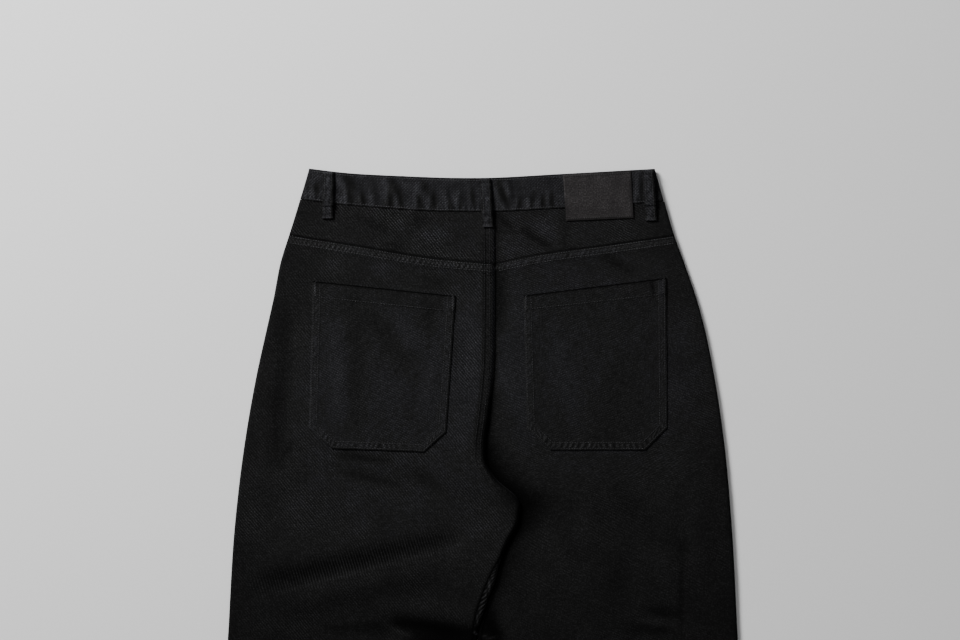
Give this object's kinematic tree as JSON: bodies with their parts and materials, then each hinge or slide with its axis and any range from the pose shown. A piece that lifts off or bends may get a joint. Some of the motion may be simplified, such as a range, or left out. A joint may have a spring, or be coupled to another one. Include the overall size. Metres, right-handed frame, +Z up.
{
  "type": "baggy jeans laid flat",
  "caption": "Baggy straight-leg jeans lying flat, back side up, with yokes, patch pockets, belt loops and a bare leather patch on the waistband.",
  "frame": {"origin": "on the surface that the jeans lie on, under the middle of their box", "axes": "+X to the right as seen from above, which is the wearer's right, +Y from the hems to the waist, +Z up, out of the back of the garment"},
  "size_m": [0.6656, 1.12, 0.0119],
  "materials": {
    "denim": "matt black cotton twill",
    "patch_leather": "matt dark leather",
    "button_metal": "dark satin metal"
  },
  "bodies": {
    "root": {"back_panel_left": "denim", "back_panel_right": "denim", "back_yoke_left": "denim", "back_yoke_right": "denim", "front_panel_left": "denim", "front_panel_right": "denim", "pocket_side_left": "denim", "pocket_side_right": "denim", "waistband": "denim", "belt_loop_back_left": "denim", "belt_loop_back_centre": "denim", "belt_loop_back_right": "denim", "belt_loop_front_left": "denim", "belt_loop_front_right": "denim", "back_pocket_left": "denim", "back_pocket_right": "denim", "leather_patch": "patch_leather", "waist_button": "button_metal"}
  },
  "joints": []
}
